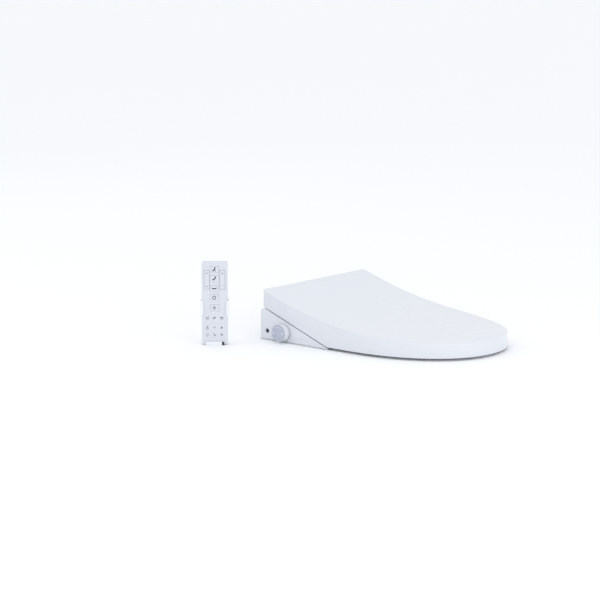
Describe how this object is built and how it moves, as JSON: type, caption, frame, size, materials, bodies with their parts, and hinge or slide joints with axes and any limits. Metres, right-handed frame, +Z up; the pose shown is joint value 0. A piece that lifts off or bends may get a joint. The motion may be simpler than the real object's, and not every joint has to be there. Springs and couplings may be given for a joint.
{
  "type": "electric bidet seat",
  "caption": "Electric bidet seat for an elongated bowl: curved lid, heated seat, rear housing with nozzle, dryer and side knob, plus a remote in its bracket.",
  "frame": {"origin": "midway between the two bowl bolts, at the height of the bowl's rim", "axes": "+Z up, +Y to the rear, +X to the user's left when seated; the knob is on the -X side"},
  "size_m": [0.5433, 0.6074, 0.195],
  "materials": {
    "white_plastic": "smooth gloss white moulded plastic",
    "inner_plastic": "satin pale inner mouldings",
    "knob_plastic": "satin blue-grey face",
    "grey_plastic": "glass-filled structural plastic",
    "dark_plastic": "satin dark plastic",
    "buffer_rubber": "soft pale grey elastomer",
    "steel": "turned stainless steel",
    "board": "coated circuit board",
    "heating_element": "dull heating alloy",
    "clear_tube": "translucent hose",
    "lamp": "translucent light pipe",
    "remote_plastic": "fine satin white plastic",
    "bracket_plastic": "fine satin bright white plastic",
    "battery_skin": "foil-wrapped cells"
  },
  "bodies": {
    "base": {"mounting_plate": "grey_plastic", "base_chassis": "inner_plastic", "main_cover": "white_plastic", "left_side_panel": "white_plastic", "right_side_panel": "white_plastic", "base_feet": "buffer_rubber", "casing_screws": "steel", "hinge_pins": "steel", "seat_damper": "dark_plastic", "lid_damper": "dark_plastic", "control_board": "board", "water_inlet": "grey_plastic", "inlet_filter": "inner_plastic", "solenoid_valve": "dark_plastic", "pump": "dark_plastic", "instant_heater": "inner_plastic", "water_tubes": "clear_tube", "nozzle_guide": "inner_plastic", "nozzle_motor": "steel", "dryer_housing": "inner_plastic", "dryer_motor": "steel", "dryer_heater": "heating_element", "deodorizer_housing": "inner_plastic", "carbon_filter": "dark_plastic", "cord_gland": "dark_plastic", "indicator_light": "lamp", "remote_bracket": "bracket_plastic", "bracket_lock": "dark_plastic"},
    "seat": {"seat_top": "white_plastic", "seat_underside": "inner_plastic", "seat_heater_foil": "heating_element", "seat_bumpers": "buffer_rubber", "seat_bushes": "dark_plastic"},
    "lid": {"lid_shell": "white_plastic", "lid_liner": "inner_plastic", "lid_bumpers": "buffer_rubber", "lid_bushes": "dark_plastic"},
    "nozzle": {"nozzle_wand": "white_plastic", "nozzle_tip": "knob_plastic"},
    "pinion": {"nozzle_pinion": "grey_plastic"},
    "nozzle_guard": {"nozzle_guard": "white_plastic"},
    "dryer_flap": {"dryer_flap": "white_plastic"},
    "dryer_fan": {"dryer_impeller": "grey_plastic"},
    "deodorizer_fan": {"deodorizer_impeller": "grey_plastic"},
    "knob_core": {"knob_shaft": "grey_plastic"},
    "knob": {"knob_cap": "knob_plastic"},
    "release_button": {"release_button": "dark_plastic"},
    "remote": {"remote_front": "remote_plastic", "remote_back": "remote_plastic", "remote_board": "board", "batteries": "battery_skin"},
    "battery_door": {"battery_door": "remote_plastic"},
    "rear_wash_key": {"rear_wash_key": "remote_plastic"},
    "front_wash_key": {"front_wash_key": "remote_plastic"},
    "dryer_key": {"dryer_key": "remote_plastic"},
    "stop_key": {"stop_key": "remote_plastic"},
    "power_key": {"power_key": "remote_plastic"},
    "position_rocker": {"position_rocker": "remote_plastic"},
    "pressure_rocker": {"pressure_rocker": "remote_plastic"}
  },
  "joints": [
    {"name": "seat_hinge", "type": "hinge", "parent": "base", "child": "seat", "pos_m": [0, 0.0515, 0.084], "axis": [-1, 0, 0], "range_deg": [0, 95]},
    {"name": "lid_hinge", "type": "hinge", "parent": "seat", "child": "lid", "pos_m": [0, 0.0515, 0.084], "axis": [1, 0, 0], "range_deg": [-100, 0]},
    {"name": "nozzle_slide", "type": "slide", "parent": "base", "child": "nozzle", "axis": [0, -0.9659, -0.2588], "range_m": [0, 0.095]},
    {"name": "pinion_spin", "type": "hinge", "parent": "base", "child": "pinion", "pos_m": [0, -0.05518, 0.02904], "axis": [1, 0, 0], "range_deg": [0, 610]},
    {"name": "guard_hinge", "type": "hinge", "parent": "base", "child": "nozzle_guard", "pos_m": [0, -0.1102, 0.0465], "axis": [-1, 0, 0], "range_deg": [0, 60]},
    {"name": "dryer_flap_hinge", "type": "hinge", "parent": "base", "child": "dryer_flap", "pos_m": [0.067, -0.1102, 0.0465], "axis": [-1, 0, 0], "range_deg": [0, 50]},
    {"name": "dryer_fan_spin", "type": "hinge", "parent": "base", "child": "dryer_fan", "pos_m": [0.067, -0.044, 0.034], "axis": [1, 0, 0], "continuous": true},
    {"name": "deodorizer_fan_spin", "type": "hinge", "parent": "base", "child": "deodorizer_fan", "pos_m": [-0.059, -0.064, 0.032], "axis": [1, 0, 0], "continuous": true},
    {"name": "knob_turn", "type": "hinge", "parent": "base", "child": "knob_core", "pos_m": [-0.19, -0.0058, 0.0243], "axis": [-1, 0, 0], "range_deg": [-45, 45], "stiffness_Nm_per_rad": 0.05},
    {"name": "knob_press", "type": "slide", "parent": "knob_core", "child": "knob", "axis": [1, 0, 0], "range_m": [0, 0.0016], "stiffness_N_per_m": 900},
    {"name": "release_press", "type": "slide", "parent": "base", "child": "release_button", "axis": [1, 0, 0], "range_m": [0, 0.002], "stiffness_N_per_m": 500},
    {"name": "remote_lift", "type": "slide", "parent": "base", "child": "remote", "axis": [0, 0, 1], "range_m": [0, 0.1]},
    {"name": "battery_door_slide", "type": "slide", "parent": "remote", "child": "battery_door", "axis": [0, 0, -1], "range_m": [0, 0.015]},
    {"name": "rear_wash_key_press", "type": "slide", "parent": "remote", "child": "rear_wash_key", "axis": [0.7627, 0.6468, 0], "range_m": [0, 0.0008], "stiffness_N_per_m": 300},
    {"name": "front_wash_key_press", "type": "slide", "parent": "remote", "child": "front_wash_key", "axis": [0.7627, 0.6468, 0], "range_m": [0, 0.0008], "stiffness_N_per_m": 300},
    {"name": "dryer_key_press", "type": "slide", "parent": "remote", "child": "dryer_key", "axis": [0.7627, 0.6468, 0], "range_m": [0, 0.0008], "stiffness_N_per_m": 300},
    {"name": "stop_key_press", "type": "slide", "parent": "remote", "child": "stop_key", "axis": [0.7627, 0.6468, 0], "range_m": [0, 0.0008], "stiffness_N_per_m": 300},
    {"name": "power_key_press", "type": "slide", "parent": "remote", "child": "power_key", "axis": [0.7627, 0.6468, 0], "range_m": [0, 0.0008], "stiffness_N_per_m": 300},
    {"name": "position_rocker_tilt", "type": "hinge", "parent": "remote", "child": "position_rocker", "pos_m": [-0.32766, 0.11015, 0.154], "axis": [0.6468, -0.7627, 0], "range_deg": [-2.5, 2.5], "stiffness_Nm_per_rad": 0.05},
    {"name": "pressure_rocker_tilt", "type": "hinge", "parent": "remote", "child": "pressure_rocker", "pos_m": [-0.30437, 0.08269, 0.154], "axis": [0.6468, -0.7627, 0], "range_deg": [-2.5, 2.5], "stiffness_Nm_per_rad": 0.05}
  ],
  "couplings": [
    {"joint": "pinion_spin", "follows": "nozzle_slide", "rad_per_m": 111.11}
  ]
}
